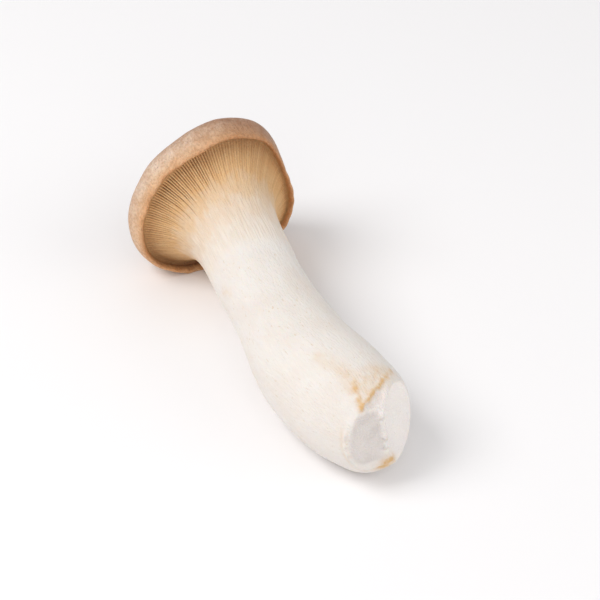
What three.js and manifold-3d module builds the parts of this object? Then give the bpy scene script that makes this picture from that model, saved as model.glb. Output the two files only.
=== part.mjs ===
// King oyster mushroom (Pleurotus eryngii), one fruiting body lying on its side as picked.
// Millimetres, +Z up. The stem runs along X: torn base towards +X, cap towards -X.
// One closed solid: a lathe turned from the half outline is bent along the mushroom's
// axis, then cut flat where it rests on the table and where it was torn off its block.
import * as THREE from "three";
import { mergeVertices } from "three/addons/utils/BufferGeometryUtils.js";
import Module from "manifold-3d";

// ---- Driving dimensions -------------------------------------------------------------

// Stem: [distance along the axis from the base, radius].
const STEM = [
  [0.6, 8.4],
  [3.5, 11.9],
  [9, 15.1],
  [17, 17.8],
  [28, 18.6],
  [40, 18.2],
  [54, 16.8],
  [69, 15],
  [83, 14.5],
  [97, 14.8],
  [108, 15.1],
];

// Cap: the flare that carries the gills, the rolled margin, and the shallow dome.
const CAP_RADIUS = 29.7;
const FLARE_START = 108.5; // axis distance at which the stem opens into the gills
const GILL_RADIUS = 26.9; // where the gills meet the margin, in a groove
const GILL_END = 130.5; // axis distance of that groove
const LIP_DEPTH = 1.8; // how far the rolled lip hangs past the groove
const MARGIN_WIDEST = 137.1; // axis distance at which the cap is widest
const DOME_HEIGHT = 13.8; // from the widest line to the top of the cap

// Where the lip is drawn further towards the base: [by how much, towards deg, width deg].
const LIP_ROLLS = [
  [2.6, 252, 34],
  [0.9, 62, 36],
  [0.5, 330, 40],
];
const LIP_FADE = 10.5; // past the groove, the axis distance over which the roll dies out

// Gills, kept coarse here: every second column of the mesh is a ridge.
const GILL_RIDGES = 48;
const GILL_HEIGHT = 0.45; // half the depth of a groove

// Cap outline seen along the axis: [lobes, share of the radius, where one lobe points].
const LOBES = [
  [1, 0.007, 150],
  [2, 0.022, 16],
  [3, 0.07, 82],
  [4, 0.026, 53],
  [5, 0.005, 0],
];

// Axis of the mushroom, from the base to the top of the cap: it bends and climbs slowly.
const AXIS = [
  [75.1, -1.7, 14.8],
  [58.1, -2.1, 16.5],
  [44.1, -4.4, 17.7],
  [28.6, -6, 18.7],
  [9.6, -5.1, 20.3],
  [-8.9, -3.9, 21.6],
  [-27.9, -1.8, 23.3],
  [-46.4, -0.1, 24.7],
  [-62.9, 0.7, 26],
  [-75.9, 0.8, 27.5],
];

// Flat cuts: a point on each plane and the direction that is cut away.
const TABLE = { point: [0, 0, 0], away: [0, 0, -1] };
const TORN_FACES = [
  { point: [72.17, -6.7, 20.65], away: [0.96, 0, 0.29] },
  { point: [73.35, -1.4, 19.9], away: [0.75, 0.62, 0.23] },
];
// The small torn flap above them is lost only where it lies beyond both of its planes.
const TORN_FLAP = [
  { point: [65.2, -0.3, 30.9], away: [0.64, 0.07, 0.765] },
  { point: [68.6, -6.7, 29.3], away: [0.727, 0.508, -0.463] },
];

const WEDGE_BLOCK = 60; // larger than the base it is cut from

const ROWS_PER_POINT = 2; // mesh rows for each point of the outline
const SKIN_COLOUR = 0xe9ddd1;

// ---- Shape --------------------------------------------------------------------------

const { degToRad, radToDeg, euclideanModulo, smoothstep, clamp } = THREE.MathUtils;

const axis = new THREE.CatmullRomCurve3(
  AXIS.map((place) => new THREE.Vector3(...place)),
  false,
  "catmullrom",
);
const axisLength = axis.getLength();

// The half outline, radius in x and distance along the axis in y, from the base's centre
// round to the top of the cap.
function halfOutline() {
  const top = MARGIN_WIDEST + DOME_HEIGHT;
  const outline = [
    [0, 0],
    ...STEM.map(([at, radius]) => [radius, at]),
    [16.6, FLARE_START + 8.5],
    [19.2, FLARE_START + 14.4],
    [22.8, GILL_END - 3.4],
    [GILL_RADIUS - 1.6, GILL_END - 0.9],
    [GILL_RADIUS, GILL_END],
    [GILL_RADIUS + 0.9, GILL_END - LIP_DEPTH],
    [GILL_RADIUS + 1.45, GILL_END - LIP_DEPTH + 0.1],
    [GILL_RADIUS + 1.95, GILL_END - 0.5],
    [CAP_RADIUS - 0.5, MARGIN_WIDEST - 4.9],
    [CAP_RADIUS, MARGIN_WIDEST],
    [CAP_RADIUS - 1.2, MARGIN_WIDEST + 3.2],
    [CAP_RADIUS - 4, MARGIN_WIDEST + 6.4],
    [CAP_RADIUS * 0.68, top - 3.8],
    [CAP_RADIUS * 0.4, top - 1.3],
    [CAP_RADIUS * 0.16, top - 0.2],
    [0, top],
  ];
  const curve = new THREE.SplineCurve(outline.map((at) => new THREE.Vector2(...at)));
  return curve.getPoints(ROWS_PER_POINT * (outline.length - 1));
}

// How much of the cap's lobed outline a ring of the stem or flare follows.
function capShare(at) {
  return smoothstep(at, FLARE_START + 3, GILL_END - 1);
}

// How deep the gills are on a ring: none on the stem, none on the margin.
function gillShare(radius, at) {
  if (at > GILL_END) return 0;
  const opening = smoothstep(at, FLARE_START, GILL_END - 6);
  return opening * (1 - smoothstep(radius, GILL_RADIUS - 1.5, GILL_RADIUS));
}

// How far a vertex of the margin is drawn towards the base.
function lipRoll(radius, at, angle) {
  const share = smoothstep(radius, GILL_RADIUS, GILL_RADIUS + 0.9);
  const fade = 1 - smoothstep(at, GILL_END - 0.5, GILL_END + LIP_FADE);
  const hump = ([depth, towards, width]) => {
    const apart = euclideanModulo(radToDeg(angle) - towards + 180, 360) - 180;
    return depth * Math.exp(-((apart / width) ** 2));
  };
  return share * fade * LIP_ROLLS.reduce((sum, roll) => sum + hump(roll), 0);
}

function lobeScale(angle) {
  const swell = ([count, share, towards]) =>
    share * Math.cos(count * (angle - degToRad(towards)));
  return LOBES.reduce((sum, lobe) => sum + swell(lobe), 1);
}

// The point of the axis at a distance from the base, and the directions round it.
function frameAt(at) {
  const u = clamp(at / axisLength, 0, 1);
  const along = axis.getTangentAt(u);
  const across = along.clone().cross(new THREE.Vector3(0, 0, 1)).normalize();
  return { centre: axis.getPointAt(u), along, across, up: across.clone().cross(along) };
}

// The place of a lathe vertex on the bent mushroom.
function bend(x, at, z) {
  const angle = Math.atan2(z, x);
  const radius = Math.hypot(x, z);
  const wide = radius * (1 + capShare(at) * (lobeScale(angle) - 1));
  const relief = GILL_HEIGHT * gillShare(radius, at) * Math.cos(GILL_RIDGES * angle);
  const { centre, along, across, up } = frameAt(at);
  return centre
    .addScaledVector(across, wide * Math.cos(angle))
    .addScaledVector(up, wide * Math.sin(angle))
    .addScaledVector(along, -relief - lipRoll(radius, at, angle));
}

// A geometry with nothing but its places, each of them held once.
function bare(geometry) {
  geometry.deleteAttribute("normal");
  geometry.deleteAttribute("uv");
  return mergeVertices(geometry, 1e-3);
}

function bentLathe() {
  const geometry = new THREE.LatheGeometry(halfOutline(), 2 * GILL_RIDGES);
  const place = geometry.getAttribute("position");
  for (let i = 0; i < place.count; i += 1)
    place.setXYZ(i, ...bend(place.getX(i), place.getY(i), place.getZ(i)));
  return bare(geometry);
}

// ---- Flat cuts ----------------------------------------------------------------------

const wasm = await Module();
wasm.setup();

function solidOf(geometry) {
  const vertProperties = geometry.getAttribute("position").array;
  const triVerts = new Uint32Array(geometry.index.array);
  return new wasm.Manifold(new wasm.Mesh({ numProp: 3, vertProperties, triVerts }));
}

function cutFlat(solid, { point, away }) {
  const kept = new THREE.Vector3(...away).normalize().negate();
  return solid.trimByPlane(kept.toArray(), kept.dot(new THREE.Vector3(...point)));
}

// A block trimmed to what lies beyond every one of the planes, to cut away with.
function wedgeBeyond(planes) {
  const block = new THREE.BoxGeometry(WEDGE_BLOCK, WEDGE_BLOCK, WEDGE_BLOCK);
  block.translate(...planes[0].point);
  const turned = planes.map(({ point, away }) => ({ point, away: away.map((v) => -v) }));
  return turned.reduce(cutFlat, solidOf(bare(block)));
}

function geometryOf(solid) {
  const { vertProperties, triVerts } = solid.getMesh();
  const geometry = new THREE.BufferGeometry();
  geometry.setAttribute("position", new THREE.BufferAttribute(vertProperties, 3));
  geometry.setIndex(new THREE.BufferAttribute(triVerts, 1));
  return geometry;
}

// The origin is the centre of the footprint's box, on the table.
function centred(geometry) {
  geometry.computeBoundingBox();
  const { min, max } = geometry.boundingBox;
  geometry.translate(-(min.x + max.x) / 2, -(min.y + max.y) / 2, -min.z);
  geometry.computeVertexNormals();
  return geometry;
}

const faced = [TABLE, ...TORN_FACES].reduce(cutFlat, solidOf(bentLathe()));
const mushroom = new THREE.Mesh(
  centred(geometryOf(faced.subtract(wedgeBeyond(TORN_FLAP)))),
  new THREE.MeshStandardMaterial({ color: SKIN_COLOUR, roughness: 0.75, metalness: 0 }),
);
mushroom.name = "king_oyster_mushroom";

const part = new THREE.Group();
part.add(mushroom);

export default part;
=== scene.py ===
"""A king oyster mushroom lying on a pale table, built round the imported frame.

The mushroom is one piece. A half outline is spun into a straight body, and the rings that
carry gills are divided into more columns. Every vertex is then moved in turn: gills,
rolled margin and fibres are raised on the straight body, the body is bent along the axis
of the stem, the base is torn off along two faces and a small flap, and the underside is
set down flat. The shape's sizes are in millimetres. The finished mesh, the sizes in the
finishes and the studio are in metres.
"""
import itertools
import logging
import math
from collections.abc import Sequence
from dataclasses import dataclass
from enum import Enum

import bpy
import numpy as np
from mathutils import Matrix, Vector


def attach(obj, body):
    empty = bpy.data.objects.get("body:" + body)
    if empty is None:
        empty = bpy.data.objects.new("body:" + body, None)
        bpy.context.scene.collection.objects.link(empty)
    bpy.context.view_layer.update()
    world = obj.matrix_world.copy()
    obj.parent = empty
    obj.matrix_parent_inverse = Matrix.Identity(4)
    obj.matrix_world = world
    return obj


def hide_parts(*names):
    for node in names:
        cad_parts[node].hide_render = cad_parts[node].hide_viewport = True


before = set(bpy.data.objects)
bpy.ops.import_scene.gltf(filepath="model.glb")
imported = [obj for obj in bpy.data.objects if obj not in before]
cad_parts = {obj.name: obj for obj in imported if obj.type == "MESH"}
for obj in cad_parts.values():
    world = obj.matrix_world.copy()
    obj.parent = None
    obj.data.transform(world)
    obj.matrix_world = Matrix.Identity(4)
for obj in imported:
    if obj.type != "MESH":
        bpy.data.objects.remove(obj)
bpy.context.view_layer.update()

log = logging.getLogger("king_oyster")

MM = 0.001
NODE = "king_oyster_mushroom"

Array = np.ndarray
Socket = bpy.types.NodeSocket
Span = tuple[float, float]
Point = tuple[float, float, float]
Colour = tuple[float, float, float]
Value = Socket | float
Paint = Socket | Colour

# Angles round the axis start at +Y and pass straight up at 90 degrees. A hump has a
# height, the angle that it points to and a width, these two in degrees.
Hump = tuple[float, float, float]

TINY = 1e-9  # keeps a length that is divided by from being zero
CHUNK = 4096  # how many vertices are matched to rings at once


# ---- Small mathematics --------------------------------------------------------------


def smoothstep(low: float, high: float, value: Array) -> Array:
    """Rises smoothly from 0 at low to 1 at high, or falls if low is above high.

    Args:
        low: Where the step begins.
        high: Where the step ends.
        value: The values to shape.

    Returns:
        The shaped values, between 0 and 1.
    """
    share = np.clip((value - low) / (high - low), 0.0, 1.0)
    return share * share * (3.0 - 2.0 * share)


def bump(value: Array, centre: float, width: float) -> Array:
    """A round hump of height 1 at centre that has faded a width away."""
    return np.exp(-(((value - centre) / width) ** 2))


def humps_round(angle: Array, *humps: Hump) -> Array:
    """Adds up humps round the axis.

    Args:
        angle: Angles round the axis, in radians.
        *humps: The humps.

    Returns:
        One value for each angle.
    """
    total = np.zeros(len(angle))
    for height, towards, width in humps:
        turned = (np.degrees(angle) - towards + 180.0) % 360.0 - 180.0
        total += height * bump(turned, 0.0, width)
    return total


def through_points(points: Array, samples: int) -> Array:
    """Samples the uniform Catmull-Rom curve through points.

    Args:
        points: The points that the curve passes through, one a row.
        samples: How many samples to take, evenly in the curve's parameter.

    Returns:
        The samples, one a row.
    """
    last = len(points) - 1
    place = np.linspace(0.0, last, samples)
    left = np.minimum(place.astype(int), last - 1)
    t = (place - left)[:, None]
    before, here = points[np.maximum(left - 1, 0)], points[left]
    there, after = points[left + 1], points[np.minimum(left + 2, last)]
    out, into = (there - before) / 2.0, (after - here) / 2.0
    cubic = 2.0 * here - 2.0 * there + out + into
    square = -3.0 * here + 3.0 * there - 2.0 * out - into
    return cubic * t**3 + square * t**2 + out * t + here


def lengths_along(points: Array) -> Array:
    """Distance from the first point to each point of a polyline."""
    steps = np.linalg.norm(np.diff(points, axis=0), axis=1)
    return np.concatenate([[0.0], np.cumsum(steps)])


def at_lengths(points: Array, where: Array) -> Array:
    """The points of a polyline at given distances from its start."""
    along = lengths_along(points)
    return np.stack([np.interp(where, along, column) for column in points.T], axis=-1)


class Noise:
    """Smooth noise on a repeating lattice, the same in every run."""

    SIZE = 32

    def __init__(self, seed: int) -> None:
        """Fills the lattice from a seed."""
        shape = (self.SIZE, self.SIZE, self.SIZE)
        self.lattice = np.random.default_rng(seed).uniform(-1.0, 1.0, shape)

    def at(self, places: Array, scale: Sequence[float]) -> Array:
        """Reads the noise.

        Args:
            places: Points, one a row.
            scale: The size of one lump along each axis, in the points' unit.

        Returns:
            One value a point, between -1 and 1.
        """
        cell = places / np.array(scale)
        corner = np.floor(cell).astype(int)
        share = cell - corner
        share = share * share * (3.0 - 2.0 * share)
        total = np.zeros(len(places))
        for step in itertools.product((0, 1), repeat=3):
            near = np.where(np.array(step) == 1, share, 1.0 - share).prod(axis=1)
            i, j, k = ((corner + step) % self.SIZE).T
            total += near * self.lattice[i, j, k]
        return total


@dataclass(frozen=True)
class Lumps:
    """A layer of smooth noise: its seed, its height and the size of one lump."""

    seed: int
    height: float
    size: Point

    def at(self, places: Array) -> Array:
        """The layer's height at each place."""
        return self.height * Noise(self.seed).at(places, self.size)


# ---- Shape --------------------------------------------------------------------------


@dataclass(frozen=True)
class Outline:
    """The half outline of the straight mushroom, in millimetres.

    Points are (distance along the axis, radius), from the centre of the base, up the
    stem, out along the flare, round the margin and over the dome. The margin is given as
    (past the widest point, out from it), and the dome as (below the top, share of the
    widest radius).
    """

    stem: tuple[tuple[float, float], ...] = (
        (0.6, 8.4),
        (3.5, 11.9),
        (9.0, 15.1),
        (17.0, 17.8),
        (28.0, 18.6),
        (40.0, 18.2),
        (54.0, 16.8),
        (69.0, 15.0),
        (83.0, 14.5),
        (97.0, 14.8),
        (108.0, 15.1),
    )
    flare: tuple[tuple[float, float], ...] = (
        (117.0, 16.6),
        (122.9, 19.2),
        (127.1, 22.8),
        (129.6, 25.3),
    )
    groove: tuple[float, float] = (130.5, 26.9)
    roll: tuple[tuple[float, float], ...] = (
        (129.5, 27.3),
        (128.7, 27.8),
        (128.8, 28.35),
        (130.0, 28.85),
        (132.2, 29.2),
    )
    widest: tuple[float, float] = (137.1, 29.7)
    margin: tuple[tuple[float, float], ...] = (
        (-2.4, -0.15),
        (0.0, 0.0),
        (3.2, -1.2),
        (6.4, -4.0),
    )
    dome_height: float = 13.8
    dome: tuple[tuple[float, float], ...] = ((3.8, 0.68), (1.3, 0.4), (0.2, 0.16), (0.0, 0.0))

    def points(self) -> Array:
        """Lists the points that the outline passes through.

        Returns:
            The points, one a row.
        """
        at, radius = self.widest
        top = at + self.dome_height
        margin = [(at + past, radius + out) for past, out in self.margin]
        dome = [(top - below, radius * share) for below, share in self.dome]
        rows = [(0.0, 0.0), *self.stem, *self.flare, self.groove, *self.roll, *margin, *dome]
        return np.array(rows)


@dataclass(frozen=True)
class Rows:
    """The rings of the mesh along the outline: where each stretch starts, and its step."""

    stretches: tuple[Span, ...] = (
        (0.0, 0.55),
        (34.0, 1.15),
        (121.0, 0.7),
        (149.0, 0.42),
        (164.0, 0.95),
    )

    def places(self, length: float) -> Array:
        """Spaces the rings along an outline.

        Args:
            length: The length of the outline.

        Returns:
            Distances along it, from 0 to its end.
        """
        ends = [start for start, _ in self.stretches[1:]] + [length]
        parts = []
        for (low, step), high in zip(self.stretches, ends):
            count = max(1, round((high - low) / step))
            parts.append(np.linspace(low, high, count, endpoint=False))
        return np.concatenate([*parts, [length]])


@dataclass(frozen=True)
class Axis:
    """The bent line that the stem follows, base to top of the cap, in millimetres."""

    through: tuple[tuple[float, float, float], ...] = (
        (75.1, -1.7, 14.8),
        (58.1, -2.1, 16.5),
        (44.1, -4.4, 17.7),
        (28.6, -6.0, 18.7),
        (9.6, -5.1, 20.3),
        (-8.9, -3.9, 21.6),
        (-27.9, -1.8, 23.3),
        (-46.4, -0.1, 24.7),
        (-62.9, 0.7, 26.0),
        (-75.9, 0.8, 27.5),
    )
    samples: int = 4000

    def bend(self, at: Array, radius: Array, angle: Array) -> Array:
        """Carries points of the straight body to the bent one.

        Args:
            at: Distance along the axis.
            radius: Distance from the axis.
            angle: Angle round the axis, in radians.

        Returns:
            The bent places, one a row.
        """
        line = through_points(np.array(self.through), self.samples)
        along = lengths_along(line)
        tangent = np.gradient(line, along, axis=0)
        beyond = np.clip(at, 0.0, along[-1])
        centre = at_lengths(line, beyond)
        forward = np.stack([np.interp(beyond, along, column) for column in tangent.T], -1)
        forward /= np.linalg.norm(forward, axis=1)[:, None]
        centre += forward * (at - beyond)[:, None]
        across = np.cross(forward, (0.0, 0.0, 1.0))
        across /= np.linalg.norm(across, axis=1)[:, None]
        up = np.cross(across, forward)
        ring = np.cos(angle)[:, None] * across + np.sin(angle)[:, None] * up
        return centre + radius[:, None] * ring


@dataclass(frozen=True)
class Stem:
    """The stem's relief: slow swellings, and dents, ribs, fibres and grain round it."""

    swell: Lumps = Lumps(3, 0.38, (26.0, 11.0, 11.0))
    texture: tuple[Lumps, ...] = (
        Lumps(8, 0.10, (7.0, 4.0, 4.0)),
        Lumps(4, 0.055, (10.0, 2.1, 2.1)),
        Lumps(5, 0.022, (2.8, 0.9, 0.9)),
        Lumps(9, 0.018, (1.3, 0.6, 0.6)),
    )
    radius: float = 15.0
    fades_by_gills: Span = (2.0, 18.0)


@dataclass(frozen=True)
class Cap:
    """The cap's uneven rim, its skin's relief, and its colours with painted shade and highlight.

    Distances past the groove behind the lip run along the outline. A lobe is (how many
    round the cap, share of the radius, the angle that one points to).
    """

    lobes: tuple[tuple[int, float, float], ...] = (
        (1, 0.007, 150.0),
        (2, 0.022, 16.0),
        (3, 0.070, 82.0),
        (4, 0.026, 53.0),
        (5, 0.005, 0.0),
    )
    opens: Span = (111.5, 129.0)
    lip_rolls: tuple[Hump, ...] = ((2.6, 252.0, 34.0), (0.9, 62.0, 36.0), (0.5, 330.0, 40.0))
    lip_rises: Span = (26.8, 27.8)
    lip_fades: Span = (141.0, 130.0)
    strays_from: Span = (-0.4, 1.2)
    strays_until: Span = (8.0, 2.0)
    rim_radius: float = 28.0
    rim_along: tuple[Lumps, ...] = (
        Lumps(31, 0.75, (9.0, 9.0, 9.0)),
        Lumps(32, 0.32, (3.1, 3.1, 3.1)),
    )
    rim_away: tuple[Lumps, ...] = (
        Lumps(33, 0.40, (7.0, 7.0, 7.0)),
        Lumps(34, 0.26, (2.6, 2.6, 2.6)),
    )
    skin_from: Span = (0.6, 1.5)
    dents: Lumps = Lumps(6, 0.42, (9.0, 9.0, 9.0))
    dents_from: Span = (1.5, 7.0)
    bumps: Lumps = Lumps(7, 0.10, (2.6, 2.6, 2.6))
    inner_edge: Span = (2.0, 2.6)
    # Painted shade in the groove behind the lip: where it lies, its least share, and a darker
    # hump at the bottom.
    crevice_shade: Span = (0.5, 0.9)
    crevice_least: float = 0.35
    crevice_dark: Hump = (0.65, 255.0, 45.0)
    # Painted shade on the gills under the lip's overhang: humps round the cap, depth, and how far
    # past the groove.
    under_lip_shade: tuple[Hump, ...] = ((0.62, 226.0, 28.0), (0.42, 72.0, 34.0))
    under_lip_shade_depth: float = 6.5
    under_lip_shade_until: float = 1.0
    browned: tuple[tuple[float, float, float], ...] = ((0.75, 4.0, 18.0), (0.2, 14.0, 30.0))
    # Painted shade: the upper right side of the skin is made browner, and where that fades.
    shaded_side: Hump = (0.75, 55.0, 50.0)
    shaded_side_fades: Span = (26.0, 12.0)
    # A painted highlight along the margin's shoulder, strongest towards the upper left.
    bloom: Span = (11.0, 5.0)
    highlight_least: float = 0.25
    highlight_side: Hump = (0.75, 138.0, 48.0)

    def masks(self, outward: Array, angle: Array) -> dict[str, Array]:
        """Says where the skin lies and how it is coloured.

        Args:
            outward: Distance past the groove at each vertex.
            angle: Angle round the axis at each vertex.

        Returns:
            Masks: skin, painted shade, brown skin with painted side shade, painted highlight,
                inner edge.
        """
        # Painted shade in the groove behind the lip, darkest at the bottom of the cap.
        shade = self.crevice_least + humps_round(angle, self.crevice_dark)
        # Painted shade on the gills under the overhanging lip, at the lower left and the top
        # right.
        inside = humps_round(angle, *self.under_lip_shade) * bump(outward, 0.0, self.under_lip_shade_depth)
        inside *= outward < self.under_lip_shade_until
        brown = sum(share * smoothstep(low, high, outward) for share, low, high in self.browned)
        # Painted shade on the upper right side, added into the brown mask.
        side = humps_round(angle, self.shaded_side) * smoothstep(*self.shaded_side_fades, outward)
        # Painted highlight on the margin's shoulder, strongest at the upper left.
        pale = self.highlight_least + humps_round(angle, self.highlight_side)
        return {
            "skin": smoothstep(*self.skin_from, outward),
            "crevice_shade": np.maximum(bump(outward, *self.crevice_shade) * shade, inside),
            "brown": np.clip(brown + side, 0.0, 1.0),
            "bloom": bump(outward, *self.bloom) * pale,
            "inner_edge": bump(outward, *self.inner_edge),
        }

    def wander(self, body: "StraightBody") -> tuple[Array, Array]:
        """How far the rim strays from an even curve.

        Args:
            body: The straight body.

        Returns:
            Offsets along the axis and away from it, in millimetres.
        """
        outward = body.where - body.rim
        weight = smoothstep(*self.strays_from, outward) * smoothstep(*self.strays_until, outward)
        rim = body.circle(self.rim_radius)
        along = sum(layer.at(rim) for layer in self.rim_along)
        away = sum(layer.at(rim) for layer in self.rim_away)
        return along * weight, away * weight

    def scale(self, at: Array, angle: Array) -> Array:
        """Gives the cap its lobes.

        Args:
            at: Distance along the axis at each vertex.
            angle: Angle round the axis at each vertex.

        Returns:
            A factor on each vertex's radius.
        """
        swell = np.zeros(len(at))
        for count, share, towards in self.lobes:
            swell += share * np.cos(count * (angle - math.radians(towards)))
        return 1.0 + swell * smoothstep(*self.opens, at)

    def roll(self, at: Array, radius: Array, angle: Array) -> Array:
        """How far the lip is drawn towards the base, in millimetres."""
        drawn = humps_round(angle, *self.lip_rolls) * smoothstep(*self.lip_rises, radius)
        return drawn * smoothstep(*self.lip_fades, at)


class Groove(Enum):
    """The lengths of the grooves between gills, in from the margin, in millimetres."""

    LONG = 27.0
    MIDDLE = 19.0
    SHORT = 13.0


@dataclass(frozen=True)
class Gills:
    """The thin plates under the cap, cut into the flare as grooves between them.

    Distances run inwards from the groove where the gills meet the margin.
    """

    count: int = 160
    columns_each: int = 6
    order: tuple[Groove, ...] = (Groove.LONG, Groove.SHORT, Groove.MIDDLE, Groove.SHORT)
    section: tuple[float, ...] = (0.0, 0.45, 0.9, 1.0, 0.9, 0.45)
    crest_above: float = 0.95
    depth: float = 0.88
    open_share: float = 0.45
    rim_fade: float = 1.1
    fades: Span = (24.0, 4.0)
    coloured: Span = (45.0, 37.0)
    divided_past: Span = (2.0, 0.6)
    faint: float = 0.2
    crisp: Hump = (0.8, 142.0, 46.0)
    lengths: Span = (0.78, 1.22)
    widths: Span = (0.6, 1.0)
    tones: Span = (0.0, 1.0)
    seed: int = 11

    def strength(self, angle: Array) -> Array:
        """How deep the grooves are round the cap, as a share of the deepest."""
        return self.faint + humps_round(angle, self.crisp)

    def draw(self, shift: int, limits: Span) -> Array:
        """Draws one number between two limits for each gill."""
        return np.random.default_rng(self.seed + shift).uniform(*limits, self.count)

    def reach(self, groove: Array) -> Array:
        """How far in from the margin each groove reaches, in millimetres."""
        kinds = np.array([self.order[i % len(self.order)].value for i in range(self.count)])
        return (kinds * self.draw(0, self.lengths))[groove]

    def tone(self, gill: Array) -> Array:
        """A shade for each gill, between 0 and 1."""
        return self.draw(1, self.tones)[gill]

    def width(self, groove: Array) -> Array:
        """How open each groove is, as a share of the widest."""
        return self.draw(2, self.widths)[groove]


@dataclass(frozen=True)
class TornFace:
    """One face of the torn base.

    It has a point, the direction that was torn away, how softly its edge turns, how white
    its flesh is, and how far before the face the flesh already shows.
    """

    point: Point
    away: Point
    softness: float = 0.3
    freshness: float = 0.0
    early: float = 0.0

    def normal(self) -> Array:
        """The unit direction that was torn away."""
        return np.array(self.away) / np.linalg.norm(self.away)

    def depth(self, place: Array) -> Array:
        """How far each place lies beyond the face, in millimetres."""
        return (place - np.array(self.point)) @ self.normal()

    def press(self, depth: Array) -> Array:
        """Zero below the face and equal to the depth beyond it, with a rounded corner."""
        return 0.5 * (depth + np.sqrt(depth * depth + self.softness * self.softness))


@dataclass(frozen=True)
class Scar:
    """A stained line or spot: a segment in space, its width and its strength."""

    start: Point
    end: Point
    width: float
    stain: float
    lift: float = 0.0

    def nearness(self, place: Array) -> Array:
        """How near each place is to the segment.

        Args:
            place: The places, one a row.

        Returns:
            1 on the segment, fading over its width.
        """
        start, along = np.array(self.start), np.array(self.end) - np.array(self.start)
        share = np.clip((place - start) @ along / (along @ along), 0.0, 1.0)
        away = np.linalg.norm(place - start - share[:, None] * along, axis=1)
        return bump(away, 0.0, self.width)


@dataclass(frozen=True)
class TornBase:
    """The base, where the mushroom was pulled and trimmed off its block.

    Two large faces, the cut and the fresher side, meet in a ridge. A small flap is torn
    above them. Skin is curled up along the flap's edge, the scars and a ring round the cut.
    """

    cut: TornFace = TornFace((72.17, -6.7, 20.65), (0.96, 0.0, 0.29), softness=0.4, early=0.7)
    side: TornFace = TornFace((73.35, -1.4, 19.9), (0.75, 0.62, 0.23), freshness=1.0)
    flap: TornFace = TornFace((65.2, -0.3, 30.9), (0.64, 0.07, 0.765), freshness=0.7)
    flap_edge: TornFace = TornFace((68.6, -6.7, 29.3), (0.727, 0.508, -0.463))
    reach: Span = (34.0, 26.0)
    rough: tuple[Lumps, ...] = (
        Lumps(21, 0.16, (6.0, 3.0, 6.0)),
        Lumps(22, 0.07, (1.0, 1.0, 1.0)),
    )
    shows_over: float = 0.6
    early_inside: Span = (-0.3, -1.5)
    flap_ledges: Lumps = Lumps(28, 0.22, (1.5, 1.1, 1.5))
    flap_shows: Span = (0.15, 0.5)
    steepness: float = 1.8
    edge_rough: float = 2.0
    edge_end: Point = (57.8, 9.4, 30.0)
    edge_starts: Span = (-0.10, 0.02)
    edge_stops: Span = (1.06, 0.94)
    edge_below: Span = (-7.0, -4.0)
    edge_inset: float = 0.3
    edge_waver: Lumps = Lumps(27, 0.6, (1.3, 1.3, 1.3))
    edge_width: float = 0.85
    edge_lift: float = 0.55
    edge_solid: float = 0.25
    curl_level: float = 0.7
    curl: Lumps = Lumps(23, 0.5, (1.1, 1.1, 1.1))
    ring: Span = (-1.4, 0.45)
    ring_below: Span = (27.0, 22.0)
    ring_lift: float = 0.85
    ring_heart: float = 8.0
    # Painted shade line beside the ring: where it lies, where it stops, its share and how solid
    # it is.
    ring_shade_line: Span = (-2.39, 0.4)
    ring_shade_line_below: Span = (27.0, 20.0)
    ring_shade_line_inside: Span = (0.0, -2.0)
    ring_shade_share: float = 0.3
    ring_shade_solid: float = 0.4
    ridge_spread: float = 0.9
    ridge_lumps: Lumps = Lumps(24, 1.0, (4.0, 4.0, 0.7))
    ridge_breaks: Span = (0.0, 0.4)
    ridge_height: float = 0.3
    ridge_drop: float = 0.42
    ridge_dulls: float = 0.6
    stain_level: float = 0.5
    stain_breaks: tuple[Lumps, ...] = (
        Lumps(25, 0.5, (1.7, 1.7, 1.7)),
        Lumps(26, 0.35, (0.7, 0.7, 0.7)),
    )
    scar_solid: float = 0.2
    scars: tuple[Scar, ...] = (
        Scar((68.6, -6.7, 29.3), (65.9, -6.3, 31.6), 1.0, 0.8, 0.2),
        Scar((65.9, -6.3, 31.6), (62.5, -5.9, 33.3), 1.0, 0.6, 0.2),
        Scar((74.4, -1.4, 8.6), (74.4, 1.8, 9.6), 2.3, 1.8),
        Scar((66.5, -4.5, 31.8), (59.0, 7.5, 31.5), 3.4, 0.4),
        Scar((47.4, -10.4, 35.0), (60.0, -5.6, 33.8), 2.4, 0.42),
        Scar((62.5, -5.6, 33.3), (58.5, 2.5, 34.0), 3.0, 0.4),
        Scar((-9.1, -18.1, 24.6), (-4.6, -17.6, 26.6), 1.8, 0.3),
    )

    def edge_nearness(self, place: Array) -> Array:
        """How near each place is to the torn edge of the flap.

        Args:
            place: The places before tearing.

        Returns:
            1 on the edge, fading to 0 over its width and past its two ends.
        """
        start = np.array(self.flap_edge.point)
        along = np.array(self.edge_end) - start
        share = (place - start) @ along / (along @ along)
        inside = smoothstep(*self.edge_starts, share) * smoothstep(*self.edge_stops, share)
        top = smoothstep(*self.edge_below, self.flap.depth(place))
        away = self.flap_edge.depth(place) + self.edge_inset + self.edge_waver.at(place)
        return bump(away, 0.0, self.edge_width) * inside * top


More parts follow.
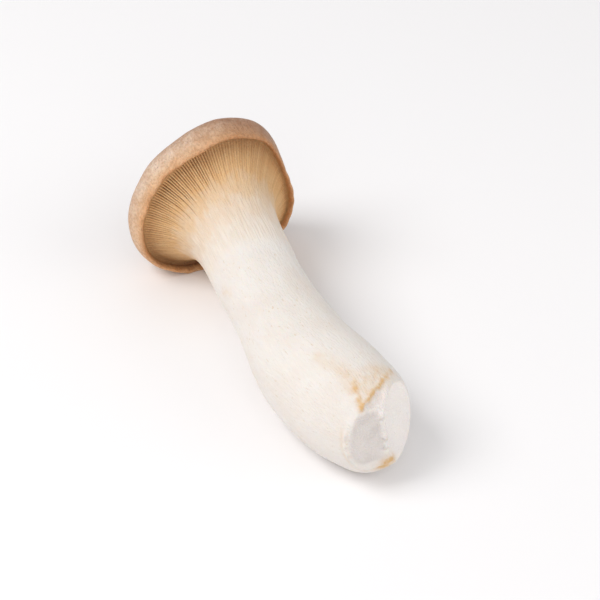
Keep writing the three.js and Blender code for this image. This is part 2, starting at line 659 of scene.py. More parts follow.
@dataclass
class Mushroom:
    """The whole mushroom: its sizes, its mesh and its dressing."""

    outline: Outline = Outline()
    rows: Rows = Rows()
    axis: Axis = Axis()
    stem: Stem = Stem()
    cap: Cap = Cap()
    gills: Gills = Gills()
    base: TornBase = TornBase()
    samples: int = 6000
    columns: int = 240
    merge: float = 0.004

    def build(self) -> bpy.types.Object:
        """Makes the finished mesh object.

        Returns:
            The mushroom, in metres, with its masks stored as attributes.
        """
        fine = through_points(self.outline.points(), self.samples)
        places = self.rows.places(lengths_along(fine)[-1])
        ring_points = at_lengths(fine, places)
        ring_points[:, 1] = np.maximum(ring_points[:, 1], 0.0)
        piece = self.spin(ring_points)
        self.divide_gill_rings(piece, places, ring_points)
        self.shape(piece, places, ring_points)
        return piece

    def spin(self, ring_points: Array) -> bpy.types.Object:
        """Spins the half outline about X into a closed straight body.

        Args:
            ring_points: (distance along the axis, radius) of each ring.

        Returns:
            The straight body, in millimetres.
        """
        bpy.ops.object.select_all(action="DESELECT")
        bpy.ops.mesh.primitive_circle_add(vertices=len(ring_points), fill_type="NOTHING")
        piece = bpy.context.object
        piece.name = piece.data.name = "mushroom"
        chain = np.zeros((len(ring_points), 3))
        chain[:, :2] = ring_points
        piece.data.vertices.foreach_set("co", chain.ravel())
        self.select_edges(piece, self.closing_edge(piece))
        bpy.ops.object.mode_set(mode="EDIT")
        bpy.ops.mesh.delete(type="EDGE_FACE")
        bpy.ops.mesh.select_all(action="SELECT")
        bpy.ops.mesh.spin(
            steps=self.columns,
            angle=2.0 * math.pi,
            use_auto_merge=True,
            center=(0.0, 0.0, 0.0),
            axis=(1.0, 0.0, 0.0),
        )
        bpy.ops.mesh.select_all(action="SELECT")
        bpy.ops.mesh.remove_doubles(threshold=self.merge)
        bpy.ops.mesh.normals_make_consistent(inside=False)
        bpy.ops.object.mode_set(mode="OBJECT")
        return piece

    @staticmethod
    def closing_edge(piece: bpy.types.Object) -> Array:
        """The edge of the circle that joins its last vertex to its first."""
        ends = edge_ends(piece)
        return np.abs(ends[:, 0] - ends[:, 1]) > 1

    @staticmethod
    def select_edges(piece: bpy.types.Object, chosen: Array) -> None:
        """Selects edges of a mesh, and nothing else.

        Args:
            piece: The mesh object.
            chosen: Whether each edge is selected.
        """
        bpy.context.tool_settings.mesh_select_mode = (False, True, False)
        mesh = piece.data
        mesh.vertices.foreach_set("select", np.zeros(len(mesh.vertices), bool))
        mesh.polygons.foreach_set("select", np.zeros(len(mesh.polygons), bool))
        mesh.edges.foreach_set("select", chosen)

    def divide_gill_rings(
        self, piece: bpy.types.Object, places: Array, ring_points: Array
    ) -> None:
        """Divides the rings that carry gills, so that every gill has its own columns.

        Args:
            piece: The straight body.
            places: Distance of each ring along the outline.
            ring_points: (distance along the axis, radius) of each ring.
        """
        ring = nearest_ring(coordinates(piece), ring_points)
        ends = edge_ends(piece)
        around = ring[ends[:, 0]] == ring[ends[:, 1]]
        where = places[ring[ends[:, 0]]]
        start, stop = self.gill_span(places, ring_points)
        self.select_edges(piece, around & (where > start) & (where < stop))
        bpy.ops.object.mode_set(mode="EDIT")
        cuts = self.gills.count * self.gills.columns_each // self.columns - 1
        bpy.ops.mesh.subdivide(number_cuts=cuts)
        bpy.ops.object.mode_set(mode="OBJECT")

    def gill_span(self, places: Array, ring_points: Array) -> Span:
        """Finds the finely divided stretch.

        Args:
            places: Distance of each ring along the outline.
            ring_points: (distance along the axis, radius) of each ring.

        Returns:
            Where it begins and ends along the outline.
        """
        rim = self.rim_place(places, ring_points)
        inwards, outwards = self.gills.divided_past
        return rim - self.gills.fades[0] - inwards, rim + outwards

    def rim_place(self, places: Array, ring_points: Array) -> float:
        """Distance along the outline of the groove where the gills meet the margin."""
        away = np.linalg.norm(ring_points - np.array(self.outline.groove), axis=1)
        return float(places[np.argmin(away)])

    def shape(self, piece: bpy.types.Object, places: Array, ring_points: Array) -> None:
        """Moves every vertex to its place on the finished mushroom.

        Args:
            piece: The straight body.
            places: Distance of each ring along the outline.
            ring_points: (distance along the axis, radius) of each ring.
        """
        straight = coordinates(piece)
        ring = nearest_ring(straight, ring_points)
        body = StraightBody(
            where=places[ring],
            at=ring_points[ring, 0],
            radius=ring_points[ring, 1],
            angle=np.arctan2(straight[:, 2], straight[:, 1]),
            normal=outline_normals(ring_points)[ring],
            rim=self.rim_place(places, ring_points),
        )
        relief, masks = Relief(self, body).raise_all()
        along, away = self.cap.wander(body)
        at = body.at + relief * body.normal[:, 0] + along
        at -= self.cap.roll(body.at, body.radius, body.angle)
        radius = body.radius * self.cap.scale(body.at, body.angle)
        radius += relief * body.normal[:, 1] + away
        place = self.axis.bend(at, np.maximum(radius, 0.0), body.angle)
        place, torn = Tearing(self.base).tear(place, body)
        masks.update(torn)
        place[:, 2] = np.maximum(place[:, 2], 0.0)
        piece.data.vertices.foreach_set("co", (place * MM).ravel())
        self.store(piece, masks, body)

    @staticmethod
    def store(piece: bpy.types.Object, masks: dict[str, Array], body: "StraightBody") -> None:
        """Keeps the masks and the straight places as attributes for the material.

        Args:
            piece: The mushroom.
            masks: The masks by name.
            body: The straight body.
        """
        mesh = piece.data
        for name, values in masks.items():
            layer = mesh.attributes.new(name, "FLOAT", "POINT")
            layer.data.foreach_set("value", np.ascontiguousarray(values, dtype=np.float32))
        layer = mesh.attributes.new("straight", "FLOAT_VECTOR", "POINT")
        straight = body.places(body.radius) * MM
        layer.data.foreach_set("vector", straight.astype(np.float32).ravel())
        mesh.update()

    @staticmethod
    def dress(piece: bpy.types.Object) -> None:
        """Gives the mushroom its finish and smooths it.

        Args:
            piece: The mushroom.
        """
        piece.data.materials.append(MushroomFinish().build())
        bpy.ops.object.select_all(action="DESELECT")
        piece.select_set(True)
        bpy.context.view_layer.objects.active = piece
        bpy.ops.object.shade_smooth()


@dataclass(frozen=True)
class StraightBody:
    """Every vertex of the straight body, described by ring and angle.

    Attributes:
        where: Distance along the outline.
        at: Distance along the axis.
        radius: Distance from the axis.
        angle: Angle round the axis, in radians.
        normal: Outward direction of the outline, as (along, radial).
        rim: Where along the outline the gills meet the margin.
    """

    where: Array
    at: Array
    radius: Array
    angle: Array
    normal: Array
    rim: float

    def places(self, radius: Array | float) -> Array:
        """Places at a radius, the distance along the outline standing for X."""
        across, up = radius * np.cos(self.angle), radius * np.sin(self.angle)
        return np.stack([self.where, across, up], axis=-1)

    def circle(self, radius: float) -> Array:
        """Places on one circle round the axis, at each vertex's angle."""
        return self.places(radius) * (0.0, 1.0, 1.0)


class Relief:
    """Height of every vertex above the plain outline, and the masks that go with it."""

    def __init__(self, mushroom: Mushroom, body: StraightBody) -> None:
        """Keeps what the relief is made from.

        Args:
            mushroom: The sizes.
            body: The straight body.
        """
        self.sizes = mushroom
        self.body = body
        self.inward = body.rim - body.where
        self.unrolled = body.places(body.radius)

    def raise_all(self) -> tuple[Array, dict[str, Array]]:
        """Adds up all the reliefs.

        Returns:
            The height in millimetres, and the masks by name.
        """
        height, masks = self.gill_relief()
        masks.update(self.sizes.cap.masks(-self.inward, self.body.angle))
        skin = masks["skin"]
        height = height + self.stem_relief() * (1.0 - skin) + self.skin_relief() * skin
        return height, masks

    def column(self) -> Array:
        """Counts the fine columns round the cap.

        Returns:
            The column that each vertex is in.
        """
        columns = self.sizes.gills.count * self.sizes.gills.columns_each
        turn = self.body.angle / (2.0 * math.pi) * columns
        return np.round(turn).astype(int) % columns

    def gill_relief(self) -> tuple[Array, dict[str, Array]]:
        """Cuts the grooves between the gills into the flare.

        Returns:
            The height in millimetres, and the gills' masks by name.
        """
        gills, inward = self.sizes.gills, self.inward
        column = self.column()
        groove = (column + gills.columns_each // 2) // gills.columns_each % gills.count
        section = np.array(gills.section)[column % gills.columns_each]
        reach = gills.reach(groove)
        open_here = smoothstep(reach, reach * gills.open_share, inward) * gills.width(groove)
        cut = smoothstep(0.0, gills.rim_fade, inward) * smoothstep(*gills.fades, inward)
        cut *= open_here
        strength = gills.strength(self.body.angle)
        # How deep each groove is cut; the same mask lays painted shade in the grooves.
        gap = cut * (1.0 - section) * strength
        masks = {
            "gap": gap,
            # Painted highlight on the gill crests.
            "crest_highlight": cut * (section > gills.crest_above) * strength,
            "gill": smoothstep(*gills.coloured, inward),
            "inward": np.clip(inward / gills.coloured[1], 0.0, 1.0),
            "tone": gills.tone(column // gills.columns_each),
        }
        return -gills.depth * gap, masks

    def stem_relief(self) -> Array:
        """Raises the stem's swellings, dents, ribs, fibres and grain.

        Returns:
            The height in millimetres.
        """
        stem = self.sizes.stem
        height = stem.swell.at(self.unrolled)
        for layer in stem.texture:
            height += layer.at(self.body.places(stem.radius))
        return height * smoothstep(*stem.fades_by_gills, self.inward)

    def skin_relief(self) -> Array:
        """Raises the shallow dents and fine bumps of the cap's skin.

        Returns:
            The height in millimetres.
        """
        cap = self.sizes.cap
        dents = cap.dents.at(self.unrolled) * smoothstep(*cap.dents_from, -self.inward)
        return dents + cap.bumps.at(self.unrolled)


class Tearing:
    """Presses the vertices beyond the torn faces back onto them."""

    def __init__(self, base: TornBase) -> None:
        """Keeps the torn base's sizes."""
        self.base = base

    def tear(self, place: Array, body: StraightBody) -> tuple[Array, dict[str, Array]]:
        """Tears the base.

        Args:
            place: The bent places, in millimetres.
            body: The straight body.

        Returns:
            The places after tearing, and the masks by name.
        """
        base = self.base
        near_base = smoothstep(*base.reach, body.at)
        stain = self.stains_and_ring_shade(place)
        place = self.lifted(place, near_base * (base.curl_level + base.curl.at(place)))
        rough = sum(layer.at(place) for layer in base.rough)
        top = base.flap.depth(place) + rough + base.flap_ledges.at(place)
        edge = base.flap_edge.depth(place) + base.edge_rough * rough
        flap = np.minimum(base.flap.press(top), base.steepness * base.flap_edge.press(edge))
        place = place - (flap * near_base)[:, None] * base.flap.normal()
        torn = smoothstep(*base.flap_shows, flap)
        fresh = base.flap.freshness * torn
        for face in (base.side, base.cut):
            depth = face.depth(place) + rough
            start = -face.early * smoothstep(*base.early_inside, base.side.depth(place))
            beyond = smoothstep(start, start + base.shows_over, depth)
            fresh = fresh * (1.0 - beyond) + face.freshness * beyond
            torn = np.maximum(torn, beyond)
            place = place - (face.press(depth) * near_base)[:, None] * face.normal()
        place, ridge = self.ridged(place)
        # The stain mask also carries a painted shade line beside the raised ring.
        masks = {"torn": torn * near_base, "fresh": np.maximum(fresh, ridge), "stain": stain}
        return place, masks

    def lifted(self, place: Array, share: Array) -> Array:
        """Raises the skin along the flap, the scars and the ring, where it curled.

        Args:
            place: The bent places.
            share: How much of each height to raise.

        Returns:
            The raised places.
        """
        base = self.base
        lift = base.edge_lift * base.edge_nearness(place)
        for scar in base.scars:
            lift += scar.lift * scar.nearness(place)
        ring = bump(base.cut.depth(place), *base.ring)
        ring *= smoothstep(*base.ring_below, place[:, 2])
        outward = place - (np.array(base.cut.point) - base.ring_heart * base.cut.normal())
        outward /= np.linalg.norm(outward, axis=1)[:, None] + TINY
        raised = (lift * share)[:, None] * base.flap.normal()
        return place + raised + (base.ring_lift * ring * share)[:, None] * outward

    def ridged(self, place: Array) -> tuple[Array, Array]:
        """Breaks the ridge between the two large faces into small steps.

        Args:
            place: The places after pressing.

        Returns:
            The new places, and how near each is to the ridge.
        """
        base = self.base
        apart = base.cut.depth(place) ** 2 + base.side.depth(place) ** 2
        ridge = np.exp(-apart / base.ridge_spread)
        ledges = smoothstep(*base.ridge_breaks, base.ridge_lumps.at(place))
        steps = base.ridge_height - base.ridge_drop * ledges
        outward = base.cut.normal() + base.side.normal()
        place = place + (ridge * steps)[:, None] * outward
        return place, ridge * (1.0 - base.ridge_dulls * ledges)

    def stains_and_ring_shade(self, place: Array) -> Array:
        """Adds up the stains and a painted shade line by the ring, each partly broken by noise.

        Args:
            place: The bent places.

        Returns:
            How stained or shaded each place is, from 0 to 1.
        """
        base = self.base
        broken = sum((layer.at(place) for layer in base.stain_breaks), base.stain_level)
        broken = np.clip(broken, 0.0, 1.0)
        total = base.edge_nearness(place) * self.patchy(broken, base.edge_solid)
        for scar in base.scars:
            total += scar.stain * scar.nearness(place) * self.patchy(broken, base.scar_solid)
        # Painted shade line at the foot of the raised ring round the cut.
        line = bump(base.cut.depth(place), *base.ring_shade_line)
        line *= smoothstep(*base.ring_shade_line_below, place[:, 2])
        line *= smoothstep(*base.ring_shade_line_inside, base.side.depth(place))
        total += base.ring_shade_share * line * self.patchy(broken, base.ring_shade_solid)
        return np.clip(total, 0.0, 1.0)

    @staticmethod
    def patchy(broken: Array, solid: float) -> Array:
        """A stain's strength where only a share of it is solid."""
        return solid + (1.0 - solid) * broken


def coordinates(piece: bpy.types.Object) -> Array:
    """Reads the vertices of a mesh object.

    Args:
        piece: The object.

    Returns:
        The vertices, one a row.
    """
    flat = np.empty(3 * len(piece.data.vertices))
    piece.data.vertices.foreach_get("co", flat)
    return flat.reshape(-1, 3)


def edge_ends(piece: bpy.types.Object) -> Array:
    """Reads the edges of a mesh object.

    Args:
        piece: The object.

    Returns:
        The two vertex numbers of every edge, one edge a row.
    """
    flat = np.empty(2 * len(piece.data.edges), dtype=np.int64)
    piece.data.edges.foreach_get("vertices", flat)
    return flat.reshape(-1, 2)


def nearest_ring(straight: Array, ring_points: Array) -> Array:
    """The ring that each vertex of the straight body belongs to.

    Args:
        straight: The vertices, one a row.
        ring_points: (distance along the axis, radius) of each ring.

    Returns:
        A ring number for each vertex.
    """
    radius = np.hypot(straight[:, 1], straight[:, 2])
    flat = np.stack([straight[:, 0], radius], axis=-1)
    best = np.empty(len(flat), dtype=np.int64)
    for low in range(0, len(flat), CHUNK):
        apart = flat[low : low + CHUNK, None, :] - ring_points[None, :, :]
        best[low : low + CHUNK] = np.argmin((apart**2).sum(axis=2), axis=1)
    return best


def outline_normals(ring_points: Array) -> Array:
    """Finds which way the outline faces.

    Args:
        ring_points: (distance along the axis, radius) of each ring.

    Returns:
        The outward direction at each ring, as (along, radial).
    """
    tangent = np.gradient(ring_points, axis=0)
    tangent /= np.linalg.norm(tangent, axis=1)[:, None]
    return np.stack([-tangent[:, 1], tangent[:, 0]], axis=-1)


# ---- Finishes -----------------------------------------------------------------------


class Sheet:
    """A node tree being filled, with short calls for nodes and links."""

    def __init__(self, tree: bpy.types.NodeTree) -> None:
        """Keeps the tree."""
        self.tree = tree

    def node(
        self, kind: str, inputs: dict[str | int, object] | None = None, **settings: object
    ) -> bpy.types.Node:
        """Adds a node.

        Args:
            kind: The node's type name.
            inputs: Values or output sockets by input name or number.
            **settings: Properties of the node.

        Returns:
            The new node.
        """
        made = self.tree.nodes.new(kind)
        for name, value in settings.items():
            setattr(made, name, value)
        for name, value in (inputs or {}).items():
            if isinstance(value, Socket):
                self.tree.links.new(value, made.inputs[name])
            else:
                made.inputs[name].default_value = value
        return made

    def maths(self, operation: str, *values: Value) -> Socket:
        """A Math node's result."""
        made = self.node("ShaderNodeMath", dict(enumerate(values)), operation=operation)
        return made.outputs[0]

    def spread(
        self, value: Value, low: float, high: float, to_low: float = 0.0, to_high: float = 1.0
    ) -> Socket:
        """Maps a value smoothly from low..high to to_low..to_high."""
        inputs = {"Value": value, 1: low, 2: high, 3: to_low, 4: to_high}
        return self.node("ShaderNodeMapRange", inputs, interpolation_type="SMOOTHSTEP").outputs[0]

    def mix(self, share: Value, first: Paint, second: Paint) -> Socket:
        """Mixes two colours by a share."""
        inputs = {0: share, 6: self.rgba(first), 7: self.rgba(second)}
        return self.node("ShaderNodeMix", inputs, data_type="RGBA").outputs[2]

    def tint(self, mask: Socket, share: Value, colour: Paint, paint: Paint) -> Socket:
        """Lays a paint over a colour as far as a mask and a share let it show."""
        return self.mix(self.maths("MULTIPLY", mask, share), colour, paint)

    def ramp(self, value: Value, stops: Sequence[tuple[float, Colour]]) -> Socket:
        """Adds a colour that runs through stops.

        Args:
            value: Where along the stops, from 0 to 1.
            stops: Places and colours.

        Returns:
            The colour.
        """
        made = self.node("ShaderNodeValToRGB", {"Fac": value})
        made.color_ramp.interpolation = "EASE"
        elements = made.color_ramp.elements
        while len(elements) < len(stops):
            elements.new(0.5)
        for element, (place, colour) in zip(elements, stops):
            element.position = place
            element.color = (*colour, 1.0)
        return made.outputs["Color"]

    def blend(self, share: Value, first: Value, second: Value) -> Socket:
        """Mixes two numbers by a share."""
        made = self.node("ShaderNodeMix", {0: share, 2: first, 3: second}, data_type="FLOAT")
        return made.outputs[0]

    def attribute(self, name: str, vector: bool = False) -> Socket:
        """An attribute that the mesh carries."""
        made = self.node("ShaderNodeAttribute", attribute_name=name)
        return made.outputs["Vector" if vector else "Fac"]

    @staticmethod
    def rgba(value: Paint) -> Socket | tuple[float, float, float, float]:
        """A colour with its alpha, or a socket as it is."""
        return value if isinstance(value, Socket) else (*value, 1.0)


def linear(level: int) -> float:
    """A screen level, 0 to 255, as linear light, by the usual screen curve."""
    share = level / 255.0
    return share / 12.92 if share <= 0.04045 else ((share + 0.055) / 1.055) ** 2.4


def lit(red: int, green: int, blue: int) -> Colour:
    """A colour given as it looks on a screen, 0 to 255, as linear light."""
    return (linear(red), linear(green), linear(blue))


@dataclass(frozen=True)
class StreakGroup:
    """A shader group: noise drawn out along the first axis, as streaks and flecks."""

    name: str = "streaks"

    def build(self) -> bpy.types.NodeTree:
        """Makes the group.

        Returns:
            A group with inputs Vector, Length, Width, Detail, Low and High, and output Mask.
        """
        tree = bpy.data.node_groups.new(self.name, "ShaderNodeTree")
        new = tree.interface.new_socket
        new(name="Vector", in_out="INPUT", socket_type="NodeSocketVector")
        sizes = {"Length": 0.01, "Width": 0.001, "Detail": 3.0, "Low": 0.4, "High": 0.6}
        for name, value in sizes.items():
            new(name=name, in_out="INPUT", socket_type="NodeSocketFloat").default_value = value
        new(name="Mask", in_out="OUTPUT", socket_type="NodeSocketFloat")
        sheet = Sheet(tree)
        given = sheet.node("NodeGroupInput").outputs
        drawn = sheet.node(
            "ShaderNodeCombineXYZ",
            {"X": given["Length"], "Y": given["Width"], "Z": given["Width"]},
        )
        places = sheet.node(
            "ShaderNodeVectorMath",
            {0: given["Vector"], 1: drawn.outputs[0]},
            operation="DIVIDE",
        )
        noise = sheet.node(
            "ShaderNodeTexNoise",
            {"Vector": places.outputs[0], "Scale": 1.0, "Detail": given["Detail"]},
        )
        mapped = sheet.node(
            "ShaderNodeMapRange",
            {"Value": noise.outputs["Fac"], 1: given["Low"], 2: given["High"]},
            interpolation_type="SMOOTHSTEP",
        )
        sheet.node("NodeGroupOutput", {"Mask": mapped.outputs[0]})
        return tree


@dataclass(frozen=True)
class Streak:
    """Streaks of one size in metres, cut between two noise levels, and how much they show."""

    length: float
    width: float
    low: float
    high: float
    share: float = 1.0


@dataclass(frozen=True)
class Streaks:
    """Places the streak group on the straight body's coordinates."""

    group: bpy.types.NodeTree

    def mask(self, sheet: Sheet, streak: Streak) -> Socket:
        """Adds streaks to a sheet.

        Args:
            sheet: The sheet.
            streak: The streaks' size and limits.

        Returns:
            Their mask, from 0 to 1.
        """
        made = sheet.node("ShaderNodeGroup", node_tree=self.group)
        sheet.tree.links.new(sheet.attribute("straight", vector=True), made.inputs["Vector"])
        made.inputs["Length"].default_value = streak.length
        made.inputs["Width"].default_value = streak.width
        made.inputs["Low"].default_value = streak.low
        made.inputs["High"].default_value = streak.high
        return made.outputs["Mask"]


@dataclass(frozen=True)
class Look:
    """The colour, roughness and bump height that one part of the surface ends up with."""

    colour: Socket
    roughness: Value
    height: Socket


@dataclass(frozen=True)
class StemFinish:
    """Pale fibrous flesh with faint streaks, cloudy patches and a few tan flecks."""

    pale: Colour = lit(231, 225, 219)
    cream: Colour = lit(226, 215, 205)
    tan: Colour = lit(206, 182, 150)
    brown: Colour = lit(170, 140, 112)
    patches: Streak = Streak(0.016, 0.009, 0.42, 0.66, 0.5)
    fibres: Streak = Streak(0.0046, 0.0011, 0.35, 0.68, 0.18)
    fine: Streak = Streak(0.0018, 0.0006, 0.3, 0.7, 0.09)
    flecks: Streak = Streak(0.0024, 0.0008, 0.63, 0.74, 0.5)
    specks: Streak = Streak(0.0007, 0.0005, 0.74, 0.80, 0.5)
    fibre_height: float = 0.3
    fine_height: float = 0.6
    roughness: Span = (0.56, 0.68)

    def look(self, sheet: Sheet, streaks: Streaks) -> Look:
        """Adds the finish's nodes to a sheet.

        Args:
            sheet: The sheet.
            streaks: The streak group.

        Returns:
            The finish's look.
        """
        fibres, fine = streaks.mask(sheet, self.fibres), streaks.mask(sheet, self.fine)
        patches = streaks.mask(sheet, self.patches)
        flecks, specks = streaks.mask(sheet, self.flecks), streaks.mask(sheet, self.specks)
        colour = sheet.tint(patches, self.patches.share, self.pale, self.cream)
        colour = sheet.tint(fibres, self.fibres.share, colour, self.cream)
        colour = sheet.tint(fine, self.fine.share, colour, self.cream)
        colour = sheet.tint(flecks, self.flecks.share, colour, self.tan)
        colour = sheet.tint(specks, self.specks.share, colour, self.brown)
        raised = sheet.maths("MULTIPLY", fine, self.fine_height)
        height = sheet.maths("ADD", sheet.maths("MULTIPLY", fibres, self.fibre_height), raised)
        return Look(colour, sheet.spread(fibres, 0.0, 1.0, *self.roughness), height)


@dataclass(frozen=True)
class GillFinish:
    """Tan gills, cream towards the stem, with painted shade in the gaps and painted crest
    highlights.
    """

    stops: tuple[tuple[float, Colour], ...] = (
        (0.0, lit(220, 172, 116)),
        (0.22, lit(224, 182, 130)),
        (0.43, lit(224, 194, 158)),
        (0.66, lit(228, 209, 188)),
        (1.0, lit(232, 222, 210)),
    )
    # Painted shade colour for the grooves between the gills.
    gap: Colour = lit(112, 58, 22)
    # Painted highlight colour for the gill crests.
    crest_highlight: Colour = lit(242, 208, 162)
    dark: Colour = lit(172, 118, 66)
    grain: Streak = Streak(0.009, 0.0007, 0.3, 0.7, 0.12)
    cloud: Streak = Streak(0.007, 0.0035, 0.3, 0.7)
    drift: float = 0.05
    tone_share: float = 0.3
    tone_fades: Span = (0.15, 0.6)
    crest_highlight_share: float = 0.6
    gap_shade_share: float = 0.95
    roughness: float = 0.74

    def look(self, sheet: Sheet, streaks: Streaks) -> Look:
        """Adds the finish's nodes to a sheet.

        Args:
            sheet: The sheet.
            streaks: The streak group.

        Returns:
            The finish's look.
        """
        grain = streaks.mask(sheet, self.grain)
        cloud = streaks.mask(sheet, self.cloud)
        inward = sheet.attribute("inward")
        drift = sheet.spread(cloud, 0.0, 1.0, -self.drift, self.drift)
        colour = sheet.ramp(sheet.maths("ADD", inward, drift), self.stops)
        tone = sheet.maths("MULTIPLY", sheet.attribute("tone"), self.tone_share)
        fade = sheet.spread(inward, *self.tone_fades, 1.0, 0.0)
        colour = sheet.tint(tone, fade, colour, self.dark)
        colour = sheet.tint(grain, self.grain.share, colour, self.dark)
        # Painted highlight on the gill crests.
        colour = sheet.tint(sheet.attribute("crest_highlight"), self.crest_highlight_share, colour, self.crest_highlight)
        # Painted shade in the grooves between the gills.
        colour = sheet.tint(sheet.attribute("gap"), self.gap_shade_share, colour, self.gap)
        return Look(colour, self.roughness, grain)


@dataclass(frozen=True)
class SkinFinish:
    """The cap's light brown skin: paler margin, darker mottles, pin spots and a painted
    highlight.

    Scales, patches and fibres show more where the skin is browner: each is given as
    brownness from, brownness to, least share and full share.
    """

    tan: Colour = lit(218, 170, 124)
    pale: Colour = lit(232, 192, 150)
    # Painted highlight colour for the margin's shoulder.
    bloom: Colour = lit(228, 207, 188)
    orange: Colour = lit(208, 146, 90)
    brown: Colour = lit(146, 98, 62)
    dome: Colour = lit(158, 108, 72)
    umber: Colour = lit(124, 80, 50)
    spot: Colour = lit(104, 66, 46)
    cloud: Streak = Streak(0.005, 0.005, 0.35, 0.65)
    mottle: Streak = Streak(0.0011, 0.0009, 0.4, 0.66, 0.24)
    fibres: Streak = Streak(0.006, 0.0005, 0.35, 0.7)
    spots: Streak = Streak(0.0009, 0.0008, 0.63, 0.70, 0.4)
    scales: Streak = Streak(0.0026, 0.0014, 0.48, 0.66)
    patches: Streak = Streak(0.011, 0.009, 0.4, 0.62)
    scales_show: tuple[float, float, float, float] = (0.2, 0.8, 0.08, 0.28)
    patches_show: tuple[float, float, float, float] = (0.78, 1.0, 0.0, 0.42)
    fibres_show: tuple[float, float, float, float] = (0.3, 1.0, 0.08, 0.24)
    highlight_share: Span = (0.54, 0.76)
    warm_share: float = 0.55
    fibre_height: float = 0.2
    roughness: Span = (0.48, 0.6)

    def look(self, sheet: Sheet, streaks: Streaks) -> Look:
        """Adds the finish's nodes to a sheet.

        Args:
            sheet: The sheet.
            streaks: The streak group.

        Returns:
            The finish's look.
        """
        cloud, spots = streaks.mask(sheet, self.cloud), streaks.mask(sheet, self.spots)
        mottle, fibres = streaks.mask(sheet, self.mottle), streaks.mask(sheet, self.fibres)
        scales, patches = streaks.mask(sheet, self.scales), streaks.mask(sheet, self.patches)
        # The brown mask is real browning towards the dome plus painted shade on the upper right
        # side.
        brown = sheet.attribute("brown")
        colour = sheet.mix(cloud, self.tan, self.pale)
        colour = sheet.mix(brown, colour, self.dome)
        # Painted highlight on the margin's shoulder, broken by the clouds.
        highlight_share = sheet.spread(cloud, 0.0, 1.0, *self.highlight_share)
        colour = sheet.tint(sheet.attribute("bloom"), highlight_share, colour, self.bloom)
        colour = sheet.tint(sheet.attribute("inner_edge"), self.warm_share, colour, self.orange)
        colour = sheet.tint(mottle, self.mottle.share, colour, self.brown)
        colour = sheet.tint(scales, sheet.spread(brown, *self.scales_show), colour, self.brown)
        colour = sheet.tint(patches, sheet.spread(brown, *self.patches_show), colour, self.umber)
        colour = sheet.tint(fibres, sheet.spread(brown, *self.fibres_show), colour, self.brown)
        colour = sheet.tint(spots, self.spots.share, colour, self.spot)
        height = sheet.maths("ADD", mottle, sheet.maths("MULTIPLY", fibres, self.fibre_height))
        return Look(colour, sheet.spread(mottle, 0.0, 1.0, *self.roughness), height)


@dataclass(frozen=True)
class TornFinish:
    """The torn base: greyish moist flesh, whiter where it broke last."""

    grey: Colour = lit(216, 208, 203)
    clear: Colour = lit(224, 216, 211)
    white: Colour = lit(243, 236, 231)
    cloud: Streak = Streak(0.006, 0.006, 0.38, 0.62)
    pulled: Streak = Streak(0.0012, 0.0007, 0.3, 0.7)
    roughness: float = 0.5

    def look(self, sheet: Sheet, streaks: Streaks) -> Look:
        """Adds the finish's nodes to a sheet.

        Args:
            sheet: The sheet.
            streaks: The streak group.

        Returns:
            The finish's look.
        """
        colour = sheet.mix(streaks.mask(sheet, self.cloud), self.grey, self.clear)
        colour = sheet.mix(sheet.attribute("fresh"), colour, self.white)
        return Look(colour, self.roughness, streaks.mask(sheet, self.pulled))


@dataclass(frozen=True)
class MushroomFinish:
    """The whole surface: four looks blended by the masks that the mesh carries."""

    stem: StemFinish = StemFinish()
    gills: GillFinish = GillFinish()
    skin: SkinFinish = SkinFinish()
    torn: TornFinish = TornFinish()
    # Ochre for real stains, also laid as the painted shade line beside the raised ring.
    ochre: Colour = lit(216, 178, 126)
    # Painted shade colour for the groove behind the cap's lip and the gills under it.
    crevice_shade: Colour = lit(104, 60, 26)
    bump_strength: float = 0.6
    bump_distance: float = 0.00035
    scatter_weight: float = 0.22
    scatter_scale: float = 0.0022
    scatter_radius: Colour = (1.0, 0.6, 0.35)

    def build(self) -> bpy.types.Material:
        """Makes the material.

        Returns:
            The finished material.
        """
        material = bpy.data.materials.new("mushroom")
        material.use_nodes = True
        tree = material.node_tree
        tree.nodes.clear()
        sheet = Sheet(tree)
        streaks = Streaks(StreakGroup().build())
        looks = [
            finish.look(sheet, streaks)
            for finish in (self.stem, self.gills, self.skin, self.torn)
        ]
        masks = [sheet.attribute(name) for name in ("gill", "skin", "torn")]
        colour, rough, height = looks[0].colour, looks[0].roughness, looks[0].height
        for share, look in zip(masks, looks[1:]):
            colour = sheet.mix(share, colour, look.colour)
            rough = sheet.blend(share, rough, look.roughness)
            height = sheet.blend(share, height, look.height)
        # Painted shade: darkens the groove behind the lip and the gills under the overhanging
        # lip.
        colour = sheet.mix(sheet.attribute("crevice_shade"), colour, self.crevice_shade)
        # Real stains, and the painted shade line beside the raised ring round the cut.
        colour = sheet.mix(sheet.attribute("stain"), colour, self.ochre)
        bumped = sheet.node(
            "ShaderNodeBump",
            {"Strength": self.bump_strength, "Distance": self.bump_distance, "Height": height},
        )
        shader = sheet.node(
            "ShaderNodeBsdfPrincipled",
            {
                "Base Color": colour,
                "Roughness": rough,
                "Normal": bumped.outputs[0],
                "Subsurface Weight": self.scatter_weight,
                "Subsurface Scale": self.scatter_scale,
                "Subsurface Radius": self.scatter_radius,
            },
        )
        sheet.node("ShaderNodeOutputMaterial", {"Surface": shader.outputs[0]})
        return material


# ---- Studio -------------------------------------------------------------------------


@dataclass(frozen=True)
class Softbox:
    """A square area light that looks at the mushroom."""

    name: str
    place: Point
    width: float
    watts: float

    def build(self, target: Vector) -> None:
        """Hangs the light and turns it to a target.

        Args:
            target: What it looks at.
        """
        data = bpy.data.lights.new(self.name, "AREA")
        data.size = self.width
        data.energy = self.watts
        lamp = bpy.data.objects.new(self.name, data)
        lamp.location = self.place
        lamp.rotation_euler = (target - lamp.location).to_track_quat("-Z", "Y").to_euler()
        bpy.context.scene.collection.objects.link(lamp)


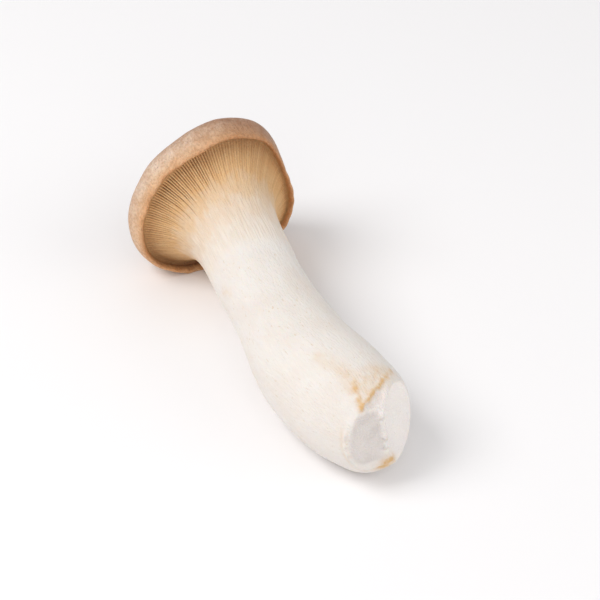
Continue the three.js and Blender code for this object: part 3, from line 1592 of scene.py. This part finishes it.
@dataclass(frozen=True)
class Studio:
    """A pale table, soft light and the camera."""

    aim: Point = (0.00114, 0.00526, 0.020)
    azimuth: float = 64.0
    elevation: float = 38.0
    distance: float = 0.70
    lens: float = 126.0
    sensor: float = 36.0
    table_size: float = 6.0
    table_gap: float = 0.00004
    table_colour: Colour = (0.92, 0.905, 0.91)
    table_roughness: float = 0.6
    sky: Colour = (1.0, 1.0, 1.0)
    sky_strength: float = 0.52

    def lamps(self) -> tuple[Softbox, ...]:
        """The lights, key first."""
        return (
            Softbox("key", (-0.25, -0.85, 1.1), 0.8, 11.0),
            Softbox("front", (1.1, -0.4, 0.8), 1.2, 4.0),
            Softbox("right", (0.9, 0.9, 0.7), 1.2, 4.8),
        )

    def build(self) -> None:
        """Sets up table, world, lamps and camera."""
        self.table()
        self.world()
        target = Vector(self.aim)
        for lamp in self.lamps():
            lamp.build(target)
        self.camera(target)

    def table(self) -> None:
        """Lays the table top just under the mushroom."""
        bpy.ops.object.select_all(action="DESELECT")
        bpy.ops.mesh.primitive_plane_add(size=self.table_size, location=(0, 0, 0))
        top = bpy.context.object
        top.name = "table_top"
        for vertex in top.data.vertices:
            vertex.co.z = -self.table_gap
        material = bpy.data.materials.new("table_top")
        material.use_nodes = True
        shader = material.node_tree.nodes["Principled BSDF"]
        shader.inputs["Base Color"].default_value = (*self.table_colour, 1.0)
        shader.inputs["Roughness"].default_value = self.table_roughness
        top.data.materials.append(material)

    def world(self) -> None:
        """Fills the room with even light."""
        world = bpy.data.worlds.new("room")
        world.use_nodes = True
        background = world.node_tree.nodes["Background"]
        background.inputs["Color"].default_value = (*self.sky, 1.0)
        background.inputs["Strength"].default_value = self.sky_strength
        bpy.context.scene.world = world
        bpy.context.scene.view_settings.view_transform = "Standard"

    def camera(self, target: Vector) -> None:
        """Places the camera on its arc and aims it.

        Args:
            target: What it looks at.
        """
        turn, lift = math.radians(self.azimuth), math.radians(self.elevation)
        back = Vector(
            (
                math.sin(turn) * math.cos(lift),
                -math.cos(turn) * math.cos(lift),
                math.sin(lift),
            )
        )
        data = bpy.data.cameras.new("camera")
        data.lens = self.lens
        data.sensor_width = self.sensor
        camera = bpy.data.objects.new("camera", data)
        camera.location = target + back * self.distance
        camera.rotation_euler = (-back).to_track_quat("-Z", "Y").to_euler()
        bpy.context.scene.collection.objects.link(camera)
        bpy.context.scene.camera = camera


# ---- The whole scene ----------------------------------------------------------------


def main() -> None:
    """Builds the mushroom and its studio."""
    logging.basicConfig(level=logging.INFO, format="%(message)s")
    Studio().build()
    mushroom = Mushroom()
    piece = mushroom.build()
    mushroom.dress(piece)
    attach(piece, "root")
    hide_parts(NODE)
    log.info("%s: %d faces", piece.name, len(piece.data.polygons))


if __name__ == "__main__":
    main()
